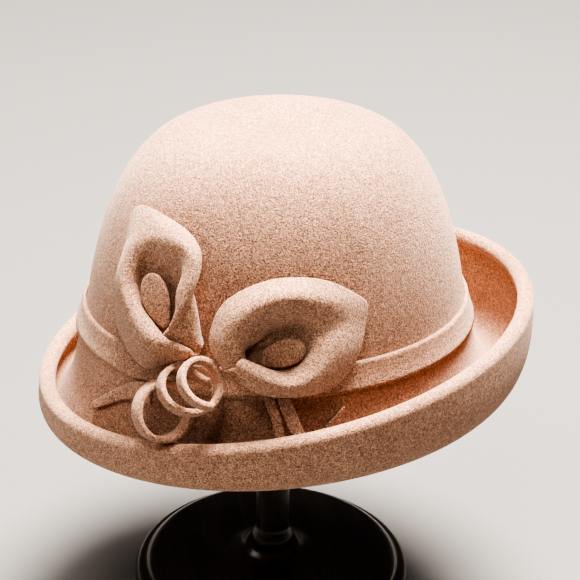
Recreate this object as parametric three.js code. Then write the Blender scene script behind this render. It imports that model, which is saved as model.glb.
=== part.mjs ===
// A felt cloche hat with a rolled brim, a band and a felt flower trim, on a turned wooden stand.
// Millimetres. +Z is up, -Y is the hat's front, +X is the wearer's left, and the origin is the
// centre of the stand's underside.
import * as THREE from 'three';

// Driving dimensions of the felt
const FELT = 2.6; // wall of the hat body
const CLEAR = 0.35; // gap that touching pieces keep
const BAND_LINE = 168; // height of the band's lower edge above the table
const CROWN_HALF_WIDTH = 82.5; // outside, side to side, above the flare
const CROWN_HALF_LENGTH = 99; // outside, front to back
const CROWN_HEIGHT = 109; // from the band's lower edge to the top
const CROWN_SIDE_POWER = 4.4; // how upright the crown's sides are
const CROWN_TOP_POWER = 1.38; // how round the crown's top is
const FLARE_OUT = 3.2; // how far the foot of the crown spreads
const FLARE_HEIGHT = 22; // over this height

// Driving dimensions of the brim
const ROLL_RADIUS = 4.3; // round turned-in edge
const ROLL_HALF_WIDTH = 107.5; // to the middle of the roll, side to side
const ROLL_HALF_LENGTH = 125; // to the middle of the roll, front to back
const ROLL_SHIFT_BACK = 5; // the brim sits this far behind the crown's middle
const ROLL_LINE = 158; // height of the roll's middle at the sides
const ROLL_TILT = 23; // rise to the back, and fall to the front
const FOLD_LINE = 129; // underside of the brim at the sides, its lowest line
const FOLD_TILT = 7; // rise of that line to the back
const BRIM_LEAVE = 4; // how far out the brim leans as it leaves the crown
const BRIM_BULGE = 4; // how far the brim's wall swells out below the roll

// Driving dimensions of the band and the trim
const BAND_HEIGHT = 13.8;
const BAND_THICK = 1.8;
const TRIM_ANGLE = -29; // degrees round from the wearer's left, where the trim is knotted
const TRIM_RISE = 20.5; // above the band's lower edge
const FLOWER_LENGTH = 80;
const PETAL_THICK = 2.2;
const PETAL_START = 0.17; // share of each line from the knot at which the sheet begins
const PETAL_EDGE = 0.4; // share of the thickness that is left at the sheet's root and margins
const PETAL_EDGE_REACH = 0.1; // over this share of its length and width
const TONGUE_THICK = 2;
const LEFT_TONGUE_WIDTH = 14;
const RIGHT_TONGUE_WIDTH = 14;
const TONGUE_ROOT_SHARE = 0.4; // of the tongue's width, at its root
const TONGUE_WIDEST = 0.6; // share of the tongue's length at which it is widest
const STRIP_THICK = 2;
const CURL_THICK = 2.8;
const CURL_WIDTH = 7.5;
const LEAD_SHARE = 0.14; // of a curl's steps that lead from its root to its coil
const LEAD_BEND = 0.5; // how far the lead bows, as a share of its length
const UPPER_CURL_RADIUS = 12.2;
const LOWER_CURL_RADIUS = 13.8;
const TAIL_WIDTH = 9.5;
const TAIL_TIP_SHARE = 0.35;
const END_A_WIDTH = 5;
const END_B_WIDTH = 6;
const TIP_WIDTH = 8;
const TIP_TIP_SHARE = 0.12;
const BAND_STEP = 7; // distance over which a strip comes down from the band to the crown
const PETAL_STEP = 24; // the same for a flower's sheet

// Driving dimensions of the stand
const BASE_RADIUS = 76;
const BASE_HEIGHT = 18;
const HUB_RADIUS = 17;
const HUB_HEIGHT = 8;
const POST_RADIUS = 9;
const CAP_DEPTH = 38; // the hidden cap under the crown's top, below the crown's inside
const CAP_TAPER = 0.96; // of the cap's underside against its rim

// How finely the round forms are cut
const BODY_SIDES = 56;
const CROWN_ROWS = 13;
const BRIM_ROWS = 8;
const ROLL_ROWS = 8;
const CAP_ROWS = 6;
const PETAL_SIDES = 28;
const PETAL_ROWS = 10;
const CURL_STEPS_PER_TURN = 18;
const TONGUE_STEPS = 10;
const TAIL_STEPS = 8;
const END_STEPS = 5;
const TURNING_SIDES = 48;

// Flowers. A row is a line from the knot out over the petal's lip: belly, throat, rim, crest and lip.
// The rows run round the mouth from one margin of the sheet to the other. Every place is
// [round, rise, out] in shares of FLOWER_LENGTH, measured from the knot on the band's face.
const LEFT_FLOWER = [
  [[-0.08, 0, 0.09], [-0.13, 0.01, 0.12], [-0.17, 0.03, 0.145], [-0.21, 0, 0.155], [-0.24, -0.07, 0.12]],
  [[-0.1, 0, 0.07], [-0.18, 0.05, 0.12], [-0.22, 0.11, 0.18], [-0.26, 0.09, 0.2], [-0.37, -0.15, 0.06]],
  [[-0.17, 0.02, 0.05], [-0.3, 0.09, 0.07], [-0.32, 0.16, 0.16], [-0.37, 0.14, 0.19], [-0.56, -0.06, 0.03]],
  [[-0.22, 0.06, 0.03], [-0.43, 0.19, 0.05], [-0.44, 0.23, 0.14], [-0.48, 0.22, 0.17], [-0.7, 0.09, 0.02]],
  [[-0.24, 0.13, 0.02], [-0.53, 0.33, 0.04], [-0.55, 0.36, 0.11], [-0.6, 0.36, 0.14], [-0.79, 0.27, 0.002]],
  [[-0.22, 0.17, 0.01], [-0.51, 0.44, 0.03], [-0.55, 0.5, 0.09], [-0.62, 0.53, 0.1], [-0.79, 0.51, 0.002]],
  [[-0.18, 0.19, 0.01], [-0.42, 0.49, 0.04], [-0.44, 0.6, 0.1], [-0.52, 0.66, 0.08], [-0.77, 0.74, 0.002]],
  [[-0.13, 0.18, 0.02], [-0.31, 0.48, 0.05], [-0.31, 0.6, 0.12], [-0.29, 0.65, 0.12], [-0.27, 0.7, 0.05]],
  [[-0.08, 0.15, 0.03], [-0.22, 0.46, 0.06], [-0.2, 0.56, 0.13], [-0.14, 0.59, 0.15], [-0.09, 0.625, 0.08]],
  [[-0.05, 0.13, 0.045], [-0.14, 0.4, 0.08], [-0.165, 0.46, 0.14], [-0.11, 0.51, 0.17], [-0.05, 0.55, 0.135]],
  [[-0.04, 0.12, 0.055], [-0.11, 0.32, 0.11], [-0.15, 0.37, 0.155], [-0.13, 0.42, 0.2], [-0.08, 0.455, 0.19]],
  [[-0.03, 0.09, 0.07], [-0.1, 0.2, 0.12], [-0.14, 0.26, 0.15], [-0.14, 0.3, 0.18], [-0.13, 0.34, 0.205]],
  [[-0.045, 0.06, 0.075], [-0.11, 0.12, 0.11], [-0.15, 0.16, 0.14], [-0.16, 0.19, 0.16], [-0.17, 0.22, 0.18]],
];
const RIGHT_FLOWER = [
  [[0.12, 0.03, 0.05], [0.22, 0.03, 0.06], [0.23, 0.05, 0.12], [0.16, 0.06, 0.16], [0.09, 0.03, 0.11]],
  [[0.1, 0.09, 0.07], [0.2, 0.1, 0.075], [0.21, 0.12, 0.13], [0.13, 0.155, 0.17], [0.02, 0.14, 0.09]],
  [[0.14, 0.135, 0.055], [0.29, 0.185, 0.055], [0.28, 0.22, 0.13], [0.2, 0.27, 0.18], [0.09, 0.33, 0.08]],
  [[0.19, 0.115, 0.03], [0.38, 0.205, 0.04], [0.37, 0.29, 0.13], [0.34, 0.37, 0.18], [0.31, 0.46, 0.07]],
  [[0.25, 0.09, 0.015], [0.48, 0.215, 0.035], [0.49, 0.32, 0.13], [0.51, 0.4, 0.17], [0.53, 0.485, 0.06]],
  [[0.28, 0.07, 0.01], [0.57, 0.17, 0.03], [0.6, 0.25, 0.1], [0.64, 0.36, 0.14], [0.74, 0.45, 0.05]],
  [[0.285, 0.055, 0.01], [0.59, 0.13, 0.03], [0.64, 0.2, 0.09], [0.74, 0.31, 0.11], [0.91, 0.36, 0.03]],
  [[0.285, 0.04, 0.01], [0.6, 0.09, 0.03], [0.65, 0.14, 0.09], [0.79, 0.21, 0.09], [1.01, 0.27, 0.002]],
  [[0.285, 0.025, 0.01], [0.59, 0.055, 0.03], [0.64, 0.085, 0.1], [0.76, 0.13, 0.11], [0.97, 0.12, 0.002]],
  [[0.275, 0.01, 0.01], [0.57, 0.015, 0.03], [0.61, 0.025, 0.11], [0.7, 0.03, 0.13], [0.89, -0.06, 0.02]],
  [[0.255, -0.005, 0.02], [0.53, -0.03, 0.04], [0.55, -0.04, 0.12], [0.6, -0.07, 0.16], [0.73, -0.2, 0.06]],
  [[0.23, -0.03, 0.035], [0.47, -0.07, 0.05], [0.48, -0.08, 0.14], [0.49, -0.12, 0.18], [0.5, -0.23, 0.11]],
  [[0.2, -0.04, 0.06], [0.34, -0.08, 0.08], [0.34, -0.03, 0.15], [0.34, -0.06, 0.19], [0.33, -0.21, 0.13]],
  [[0.17, -0.03, 0.09], [0.23, -0.04, 0.12], [0.23, -0.01, 0.17], [0.215, -0.05, 0.2], [0.21, -0.12, 0.16]],
];
const LEFT_KNOT = [-0.01, 0.04, 0.04];
const RIGHT_KNOT = [0.05, 0.03, 0.03];
// The flat tongue inside each flower, from its root to its round end, in the same shares
const LEFT_TONGUE = [[-0.255, 0.165, 0.07], [-0.343, 0.285, 0.08], [-0.42, 0.43, 0.072]];
const RIGHT_TONGUE = [[0.31, 0.01, 0.052], [0.44, 0.055, 0.07], [0.575, 0.1, 0.085]];
// Curled strips: where the root stands, where the coil's middle starts and ends, the way its axle
// points, how many turns it has and the angle of its first point
const UPPER_CURL = {
  root: [0.04, -0.18, 0], from: [-0.125, -0.17, 0.23], to: [0.095, -0.028, 0.295],
  axle: [0.5, 0.66, 0.56], turns: 1.66, start: 40,
};
const LOWER_CURL = {
  root: [-0.105, -0.255, 0], from: [-0.225, -0.31, 0.25], to: [-0.205, -0.29, 0.255],
  axle: [0.7, 0.34, 0.62], turns: 0.8, start: 60,
};
// Flat strips that lie on the brim or stand off it, root first
const TAIL = [[-0.33, -0.3, 0.03], [-0.43, -0.32, 0.015], [-0.57, -0.385, 0.008], [-0.83, -0.575, 0.005]];
const END_A = [[0.38, -0.24, 0.003], [0.4, -0.36, 0.04], [0.42, -0.51, 0.08]];
const END_B = [[0.46, -0.23, 0.003], [0.48, -0.34, 0.04], [0.51, -0.51, 0.08]];
const TIP = [[0.72, -0.5, 0.005], [0.77, -0.43, 0.008], [0.82, -0.34, 0.012]];

const UP = new THREE.Vector3(0, 0, 1);
const CROWN_FOOT = [CROWN_HALF_WIDTH + FLARE_OUT, CROWN_HALF_LENGTH + FLARE_OUT];
const BAND_FACE = CLEAR + BAND_THICK;
const v3 = (x, y, z) => new THREE.Vector3(x, y, z);
const mix = (a, b, t) => a + (b - a) * t;
function smoothCurve(places) {
  const points = places.map((place) => v3(...place));
  return new THREE.CatmullRomCurve3(points, false, 'centripetal');
}

const sharesOf = (steps, first = 0) => Array.from({ length: steps + 1 }, (_, i) => mix(first, 1, i / steps));

function cubic([a, b, c, d], t) {
  const s = 1 - t;
  return s ** 3 * a + 3 * t * s ** 2 * b + 3 * t ** 2 * s * c + t ** 3 * d;
}

// Felt body: one sheet, whose upper face runs from the crown's top down to the band line (way 0 to
// 1) and on through the trough to the foot of the rolled edge (way 1 to 2).

function crownShare(rise) {
  const high = Math.min(1, Math.max(0, rise / CROWN_HEIGHT));
  return (1 - high ** CROWN_TOP_POWER) ** (1 / CROWN_SIDE_POWER);
}

function crownPoint(angle, rise) {
  const flare = FLARE_OUT * Math.max(0, (FLARE_HEIGHT - rise) / FLARE_HEIGHT) ** 3;
  const share = crownShare(rise);
  return v3(
    (CROWN_HALF_WIDTH * share + flare) * Math.cos(angle),
    (CROWN_HALF_LENGTH * share + flare) * Math.sin(angle),
    BAND_LINE + rise,
  );
}

function rollMiddle(angle) {
  return v3(
    ROLL_HALF_WIDTH * Math.cos(angle),
    ROLL_HALF_LENGTH * Math.sin(angle) + ROLL_SHIFT_BACK,
    ROLL_LINE + ROLL_TILT * Math.sin(angle),
  );
}

function outward(angle) {
  return v3(Math.cos(angle) / ROLL_HALF_WIDTH, Math.sin(angle) / ROLL_HALF_LENGTH, 0).normalize();
}

// The roll's round section, as a point at a turn measured from straight out
function rollPoint(angle, turn) {
  return rollMiddle(angle)
    .addScaledVector(outward(angle), ROLL_RADIUS * Math.cos(turn))
    .addScaledVector(UP, ROLL_RADIUS * Math.sin(turn));
}

// The turn at which the brim's inner face meets the roll
const ROLL_FOOT_TURN = -Math.acos((ROLL_RADIUS - FELT) / ROLL_RADIUS);

function brimPoint(angle, share) {
  const foot = crownPoint(angle, 0);
  const top = rollPoint(angle, ROLL_FOOT_TURN);
  const out = outward(angle);
  const lowest = FOLD_LINE + FOLD_TILT * Math.sin(angle) + FELT;
  const pull = (8 * lowest - foot.z - top.z) / 6;
  const leave = foot.clone().addScaledVector(out, BRIM_LEAVE);
  const arrive = top.clone().addScaledVector(out, BRIM_BULGE);
  return v3(
    cubic([foot.x, leave.x, arrive.x, top.x], share),
    cubic([foot.y, leave.y, arrive.y, top.y], share),
    cubic([foot.z, pull, pull, top.z], share),
  );
}

// Crown rows are spaced by the turn of the dome, so that they close up towards the top
function sheetPoint(angle, way) {
  if (way > 1) return brimPoint(angle, way - 1);
  const rise = CROWN_HEIGHT * Math.sin(((1 - way) * Math.PI) / 2) ** (2 / CROWN_TOP_POWER);
  return crownPoint(angle, rise);
}

function sheetNormal(angle, way) {
  const step = 1e-3;
  const after = sheetPoint(angle, Math.min(2, way + step));
  const along = after.sub(sheetPoint(angle, Math.max(0.01, way - step)));
  const round = sheetPoint(angle + step, way).sub(sheetPoint(angle - step, way));
  return along.cross(round).normalize();
}

// A closed solid from rings of points. With ends it runs from a first point to a last point, and
// otherwise its last ring joins its first, as a tyre does.
function ringSolid(rings, firstPoint, lastPoint) {
  const sides = rings[0].length;
  const points = rings.flat();
  const faces = [];
  const at = (ring, side) => (ring % rings.length) * sides + (side % sides);
  const ringGaps = firstPoint ? rings.length - 1 : rings.length;
  for (let ring = 0; ring < ringGaps; ring++) {
    for (let side = 0; side < sides; side++) {
      faces.push(at(ring, side), at(ring + 1, side), at(ring + 1, side + 1));
      faces.push(at(ring, side), at(ring + 1, side + 1), at(ring, side + 1));
    }
  }
  if (firstPoint) {
    const first = points.push(firstPoint) - 1;
    const last = points.push(lastPoint) - 1;
    for (let side = 0; side < sides; side++) {
      faces.push(first, at(0, side), at(0, side + 1));
      faces.push(last, at(rings.length - 1, side + 1), at(rings.length - 1, side));
    }
  }
  return closedSkin(points, faces);
}

// A closed thick sheet from a grid of points for each of its faces, with walls between their borders
function sheetSolid(front, back) {
  const lastRow = front.length - 1;
  const lastSide = front[0].length - 1;
  const under = front.length * front[0].length;
  const faces = [];
  const at = (row, side) => row * (lastSide + 1) + side;
  const quad = (a, b, c, d) => faces.push(a, b, c, a, c, d);
  const wall = (a, b) => quad(a, b, under + b, under + a);
  for (let row = 0; row < lastRow; row++) {
    for (let side = 0; side < lastSide; side++) {
      const corners = [at(row, side), at(row + 1, side), at(row + 1, side + 1), at(row, side + 1)];
      quad(...corners);
      quad(...corners.reverse().map((corner) => under + corner));
    }
    wall(at(row + 1, 0), at(row, 0));
    wall(at(row, lastSide), at(row + 1, lastSide));
  }
  for (let side = 0; side < lastSide; side++) {
    wall(at(0, side), at(0, side + 1));
    wall(at(lastRow, side + 1), at(lastRow, side));
  }
  return closedSkin([...front.flat(), ...back.flat()], faces);
}

function closedSkin(points, faces) {
  const geometry = new THREE.BufferGeometry();
  const numbers = points.flatMap((p) => [p.x, p.y, p.z]);
  geometry.setAttribute('position', new THREE.Float32BufferAttribute(numbers, 3));
  geometry.setIndex(faces);
  if (volumeOf(points, faces) < 0) geometry.setIndex(faces.slice().reverse());
  geometry.computeVertexNormals();
  return geometry;
}

function volumeOf(points, faces) {
  let sum = 0;
  for (let i = 0; i < faces.length; i += 3) {
    const [a, b, c] = [points[faces[i]], points[faces[i + 1]], points[faces[i + 2]]];
    sum += a.dot(b.clone().cross(c));
  }
  return sum / 6;
}

const bodyAngles = Array.from({ length: BODY_SIDES }, (_, i) => (2 * Math.PI * i) / BODY_SIDES);
const ringOf = (pointAt) => bodyAngles.map(pointAt);

function sheetRing(way, depth) {
  return ringOf((angle) => sheetPoint(angle, way).addScaledVector(sheetNormal(angle, way), -depth));
}

function hatBody() {
  const ways = [];
  for (let row = 1; row <= CROWN_ROWS; row++) ways.push(row / CROWN_ROWS);
  for (let row = 1; row <= BRIM_ROWS; row++) ways.push(1 + row / BRIM_ROWS);
  const upper = ways.map((way) => sheetRing(way, 0));
  const under = ways.slice(0, -1).map((way) => sheetRing(way, FELT));
  const roll = [];
  for (let row = 1; row < ROLL_ROWS; row++) {
    const turn = mix(ROLL_FOOT_TURN, -2 * Math.PI, row / (ROLL_ROWS - 1));
    roll.push(ringOf((angle) => rollPoint(angle, turn)));
  }
  const top = v3(0, 0, BAND_LINE + CROWN_HEIGHT);
  return ringSolid([...upper, ...roll, ...under.reverse()], top, top.clone().addScaledVector(UP, -FELT));
}

// A point of the trim. It stands on the crown or the brim at a distance round from the knot and a
// rise from the band's lower edge, and so far out from the band's face.
const TRIM_TURN = THREE.MathUtils.degToRad(TRIM_ANGLE);
const TRIM_ARC = Math.hypot(CROWN_FOOT[0] * Math.sin(TRIM_TURN), CROWN_FOOT[1] * Math.cos(TRIM_TURN));

function wayAtRise(angle, rise) {
  if (rise >= 0) {
    const high = Math.min(1, rise / CROWN_HEIGHT);
    return 1 - Math.asin(high ** (CROWN_TOP_POWER / 2)) / (Math.PI / 2);
  }
  let low = 1;
  let high = 1.45;
  for (let i = 0; i < 24; i++) {
    const middle = (low + high) / 2;
    if (sheetPoint(angle, middle).z > BAND_LINE + rise) low = middle;
    else high = middle;
  }
  return low;
}

// What lies on the crown passes over the band, and comes back to the crown beside it
function bandLift(rise, reach) {
  const past = Math.max(rise - BAND_HEIGHT, -rise, 0) / reach;
  return BAND_FACE * (1 - THREE.MathUtils.smoothstep(past, 0.3, 1));
}

// The place is [round, rise, out] from the knot in shares of FLOWER_LENGTH, and the lift is the
// distance from the felt or the band below to the middle of what lies there.
function wallPoint([round, rise, out], lift, reach = BAND_STEP) {
  const angle = TRIM_TURN + (round * FLOWER_LENGTH) / TRIM_ARC;
  const height = rise * FLOWER_LENGTH + TRIM_RISE;
  const way = wayAtRise(angle, height);
  const away = bandLift(height, reach) + lift + out * FLOWER_LENGTH;
  return sheetPoint(angle, way).addScaledVector(sheetNormal(angle, way), away);
}

function hatBand() {
  const rows = [0, 0.34, 0.67, 1];
  const ringAt = (share, out) => ringOf((angle) => {
    const way = wayAtRise(angle, BAND_HEIGHT * share);
    return sheetPoint(angle, way).addScaledVector(sheetNormal(angle, way), out);
  });
  const inner = rows.map((share) => ringAt(share, CLEAR));
  const outer = rows.map((share) => ringAt(share, CLEAR + BAND_THICK));
  return ringSolid([...inner, ...outer.reverse()]);
}

// Flower: a felt sheet wrapped into a cone, with a hollow throat, a rolled lip and a pointed tip.
// Smooth lines run out from the knot, and a smooth open curve joins each kind of place along them.
function flower(rows, knot) {
  const curves = rows[0].map((_, kind) => smoothCurve(rows.map((row) => row[kind])));
  const lift = CLEAR + PETAL_THICK / 2;
  const pointAt = (round, along) => {
    const line = smoothCurve([knot, ...curves.map((curve) => curve.getPoint(round).toArray())]);
    return wallPoint(line.getPoint(along).toArray(), lift, PETAL_STEP);
  };
  const normalAt = (round, along) => {
    const step = 0.01;
    const line = pointAt(round, Math.min(1, along + step)).sub(pointAt(round, along - step));
    const loop = pointAt(Math.min(1, round + step), along).sub(pointAt(Math.max(0, round - step), along));
    return line.cross(loop).normalize();
  };
  const halfAt = (round, along) => {
    const inward = Math.min(round, 1 - round, along - PETAL_START) / PETAL_EDGE_REACH;
    return (PETAL_THICK / 2) * mix(PETAL_EDGE, 1, Math.min(1, inward));
  };
  const offPoint = (round, along, way) => pointAt(round, along)
    .addScaledVector(normalAt(round, along), way * halfAt(round, along));
  const faceAt = (way) => sharesOf(PETAL_ROWS, PETAL_START)
    .map((along) => sharesOf(PETAL_SIDES).map((round) => offPoint(round, along, way)));
  return sheetSolid(faceAt(1), faceAt(-1));
}

// A flat strip of felt along a smooth path, with its width given along the way and laid across the
// path in the direction that acrossAt gives.
function strip(pathAt, acrossAt, widthAt, thick, steps) {
  const rings = sharesOf(steps).map((share) => {
    const before = pathAt(Math.max(0, share - 1e-3));
    const ahead = pathAt(Math.min(1, share + 1e-3)).sub(before).normalize();
    const across = acrossAt(share, ahead).normalize().multiplyScalar(widthAt(share) / 2);
    const face = ahead.cross(across).normalize().multiplyScalar(thick / 2);
    const middle = pathAt(share);
    return [
      middle.clone().add(across).add(face),
      middle.clone().sub(across).add(face),
      middle.clone().sub(across).sub(face),
      middle.clone().add(across).sub(face),
    ];
  });
  return ringSolid(rings, pathAt(0), pathAt(1));
}

// A strip that follows the crown or the brim, through a few places given in shares of FLOWER_LENGTH
function lyingStrip(places, widthAt, thick, steps, ground = 0) {
  const route = smoothCurve(places);
  const lift = ground + CLEAR + thick / 2;
  const lifted = (share, more) => wallPoint(route.getPoint(share).toArray(), lift + more);
  const acrossAt = (share, ahead) => lifted(share, 1).sub(lifted(share, 0)).cross(ahead);
  return strip((share) => lifted(share, 0), acrossAt, widthAt, thick, steps);
}

// The felt tongue inside a flower: narrow at its root, with a round end
function tongue(places, width) {
  const widthAt = (share) => {
    const spread = Math.sin((Math.PI / 2) * Math.min(1, share / TONGUE_WIDEST));
    const past = Math.max(0, (share - TONGUE_WIDEST) / (1 - TONGUE_WIDEST));
    return width * mix(TONGUE_ROOT_SHARE, 1, spread) * Math.sqrt(Math.max(0.04, 1 - past ** 2.2));
  };
  return lyingStrip(places, widthAt, TONGUE_THICK, TONGUE_STEPS, CLEAR + PETAL_THICK);
}

const taper = (width, tipShare) => (share) => width * mix(1, tipShare, share ** 1.5);

// A curled strip: a lead from its root on the felt, then a coil in the flat frame of the knot. The
// strip's width lies along the coil's axle.
function curl({ root, from, to, axle, turns, start }, radius) {
  const knot = wallPoint([0, 0, 0], 0);
  const out = sheetNormal(TRIM_TURN, wayAtRise(TRIM_TURN, 0)).setZ(0).normalize();
  const frame = new THREE.Matrix4().makeBasis(UP.clone().cross(out), UP, out);
  const inFrame = (place) => v3(...place).applyMatrix4(frame);
  const spindle = inFrame(axle).normalize();
  const side = UP.clone().cross(spindle).normalize();
  const rise = spindle.clone().cross(side);
  const first = knot.clone().add(inFrame(from).multiplyScalar(FLOWER_LENGTH));
  const last = knot.clone().add(inFrame(to).multiplyScalar(FLOWER_LENGTH));
  const coilAt = (share) => {
    const turn = THREE.MathUtils.degToRad(start) + 2 * Math.PI * turns * share;
    const spoke = side.clone().multiplyScalar(Math.cos(turn)).addScaledVector(rise, Math.sin(turn));
    return first.clone().lerp(last, share).addScaledVector(spoke, radius);
  };
  const foot = wallPoint(root, CLEAR + Math.hypot(CURL_WIDTH, CURL_THICK) / 2);
  const begin = coilAt(0);
  const ahead = coilAt(0.01).sub(begin).normalize();
  const bend = begin.clone().addScaledVector(ahead, -LEAD_BEND * begin.distanceTo(foot));
  const lead = new THREE.QuadraticBezierCurve3(foot, bend, begin);
  const pathAt = (share) => (share < LEAD_SHARE
    ? lead.getPoint(share / LEAD_SHARE)
    : coilAt((share - LEAD_SHARE) / (1 - LEAD_SHARE)));
  const acrossAt = (share, way) => spindle.clone().addScaledVector(way, -spindle.dot(way));
  const steps = Math.round(CURL_STEPS_PER_TURN * (turns + LEAD_SHARE));
  return strip(pathAt, acrossAt, () => CURL_WIDTH, CURL_THICK, steps);
}

// Stand: a turned base with a stepped edge and a hub, a round post, and a cap under the crown's top
const CAP_WAYS = Array.from({ length: CAP_ROWS }, (_, row) => (row + 1) / CROWN_ROWS);
const CAP_TOP = BAND_LINE + CROWN_HEIGHT - FELT - CLEAR;
const CAP_UNDERSIDE = CAP_TOP - CAP_DEPTH;

function standBase() {
  const edge = [
    [0, 0],
    [BASE_RADIUS * 0.97, 0],
    [BASE_RADIUS, BASE_HEIGHT * 0.2],
    [BASE_RADIUS, BASE_HEIGHT * 0.5],
    [BASE_RADIUS * 0.97, BASE_HEIGHT * 0.68],
    [BASE_RADIUS * 0.92, BASE_HEIGHT * 0.72],
    [BASE_RADIUS * 0.9, BASE_HEIGHT * 0.88],
    [BASE_RADIUS * 0.85, BASE_HEIGHT],
    [HUB_RADIUS * 1.5, BASE_HEIGHT],
    [HUB_RADIUS, BASE_HEIGHT + HUB_HEIGHT * 0.5],
    [HUB_RADIUS * 0.8, BASE_HEIGHT + HUB_HEIGHT],
    [0, BASE_HEIGHT + HUB_HEIGHT],
  ];
  return turned(edge);
}

function standPost() {
  const foot = BASE_HEIGHT + HUB_HEIGHT + CLEAR;
  const head = CAP_UNDERSIDE - CLEAR;
  const edge = [
    [0, foot],
    [POST_RADIUS * 1.3, foot],
    [POST_RADIUS * 1.3, foot + POST_RADIUS * 0.4],
    [POST_RADIUS, foot + POST_RADIUS],
    [POST_RADIUS, head],
    [0, head],
  ];
  return turned(edge);
}

function turned(edge) {
  const outline = edge.map(([x, y]) => new THREE.Vector2(x, y));
  return new THREE.LatheGeometry(outline, TURNING_SIDES).rotateX(Math.PI / 2);
}

function standCap() {
  const rings = CAP_WAYS.map((way) => sheetRing(way, FELT + CLEAR));
  const rim = rings[rings.length - 1];
  const flat = rim.map((p) => v3(p.x * CAP_TAPER, p.y * CAP_TAPER, CAP_UNDERSIDE));
  return ringSolid([...rings, flat], v3(0, 0, CAP_TOP), v3(0, 0, CAP_UNDERSIDE));
}

const felt = new THREE.MeshStandardMaterial({ color: 0xcd9b78, roughness: 0.95, metalness: 0 });
const wood = new THREE.MeshStandardMaterial({ color: 0x1e140f, roughness: 0.35, metalness: 0 });

const hat = new THREE.Group();
function add(name, geometry, material) {
  const mesh = new THREE.Mesh(geometry, material);
  mesh.name = name;
  hat.add(mesh);
}

add('hat_body', hatBody(), felt);
add('hat_band', hatBand(), felt);
add('petal_left', flower(LEFT_FLOWER, LEFT_KNOT), felt);
add('petal_right', flower(RIGHT_FLOWER, RIGHT_KNOT), felt);
add('tongue_left', tongue(LEFT_TONGUE, LEFT_TONGUE_WIDTH), felt);
add('tongue_right', tongue(RIGHT_TONGUE, RIGHT_TONGUE_WIDTH), felt);
add('curl_upper', curl(UPPER_CURL, UPPER_CURL_RADIUS), felt);
add('curl_lower', curl(LOWER_CURL, LOWER_CURL_RADIUS), felt);
add('tail_strip', lyingStrip(TAIL, taper(TAIL_WIDTH, TAIL_TIP_SHARE), STRIP_THICK, TAIL_STEPS), felt);
add('strip_end_a', lyingStrip(END_A, () => END_A_WIDTH, STRIP_THICK, END_STEPS), felt);
add('strip_end_b', lyingStrip(END_B, () => END_B_WIDTH, STRIP_THICK, END_STEPS), felt);
add('strip_tip', lyingStrip(TIP, taper(TIP_WIDTH, TIP_TIP_SHARE), STRIP_THICK, END_STEPS), felt);
add('stand_base', standBase(), wood);
add('stand_post', standPost(), wood);
add('stand_cap', standCap(), wood);

export default hat;
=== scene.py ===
"""Looks of a camel felt cloche hat with a rolled brim, a band and a felt flower trim, on its stand.

Lengths are in millimetres in the hat's own frame (+Z up, -Y to the hat's front, +X to the wearer's
left) and become metres when a mesh is made.
"""
import math

import bpy
import numpy as np
from mathutils import Matrix

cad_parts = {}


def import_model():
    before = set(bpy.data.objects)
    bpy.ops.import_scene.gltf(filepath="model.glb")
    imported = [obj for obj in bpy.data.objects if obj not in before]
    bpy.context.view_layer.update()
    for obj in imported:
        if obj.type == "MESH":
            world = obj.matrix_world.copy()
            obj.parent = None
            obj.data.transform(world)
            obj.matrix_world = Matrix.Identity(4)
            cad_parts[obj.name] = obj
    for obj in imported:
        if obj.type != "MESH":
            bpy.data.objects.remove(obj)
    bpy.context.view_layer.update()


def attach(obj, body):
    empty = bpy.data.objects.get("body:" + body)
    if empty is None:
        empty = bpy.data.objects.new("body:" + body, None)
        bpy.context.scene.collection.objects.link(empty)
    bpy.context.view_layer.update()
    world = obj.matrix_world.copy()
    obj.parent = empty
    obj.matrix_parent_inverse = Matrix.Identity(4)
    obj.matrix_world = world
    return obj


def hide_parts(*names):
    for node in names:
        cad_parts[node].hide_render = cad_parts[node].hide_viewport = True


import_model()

MM = 0.001
TAU = 2 * math.pi
UP = np.array([0.0, 0.0, 1.0])

# Felt body, as in the hat's frame
FELT = 2.6
CLEAR = 0.35
BAND_LINE = 168.0
CROWN_HALF = (82.5, 99.0)
CROWN_HEIGHT = 109.0
CROWN_SIDE_POWER = 4.4
CROWN_TOP_POWER = 1.38
FLARE_OUT = 3.2
FLARE_HEIGHT = 22.0
LEAST_WAY = 0.01

# Brim
ROLL_RADIUS = 4.3
ROLL_HALF = (107.5, 125.0)
ROLL_SHIFT_BACK = 5.0
ROLL_LINE = 158.0
ROLL_TILT = 23.0
FOLD_LINE = 129.0
FOLD_TILT = 7.0
BRIM_LEAVE = 4.0
BRIM_BULGE = 4.0
ROLL_FOOT_TURN = -math.acos((ROLL_RADIUS - FELT) / ROLL_RADIUS)

# Band and trim
BAND_HEIGHT = 13.8
BAND_THICK = 1.8
BAND_STEP = 7.0
BAND_HOLD = 0.3
PETAL_STEP = 24.0
TRIM_TURN = math.radians(-29)
TRIM_RISE = 20.5
TRIM_ARC = math.hypot(
    (CROWN_HALF[0] + FLARE_OUT) * math.sin(TRIM_TURN), (CROWN_HALF[1] + FLARE_OUT) * math.cos(TRIM_TURN)
)
FLOWER_LENGTH = 80.0
PETAL_THICK = 2.2
TONGUE_THICK = 2.0
STRIP_THICK = 2.0
CURL_THICK = 3.1
CURL_WIDTH = 7.5


# Curves and surfaces


def mix(a, b, t):
    return a + (b - a) * t


def smoothstep(low, high, x):
    """3t^2 - 2t^3, where t is x's place between low and high."""
    t = np.clip((x - low) / (high - low), 0, 1)
    return t * t * (3 - 2 * t)


def unit(v):
    return v / np.maximum(np.linalg.norm(v, axis=-1, keepdims=True), 1e-9)


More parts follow.
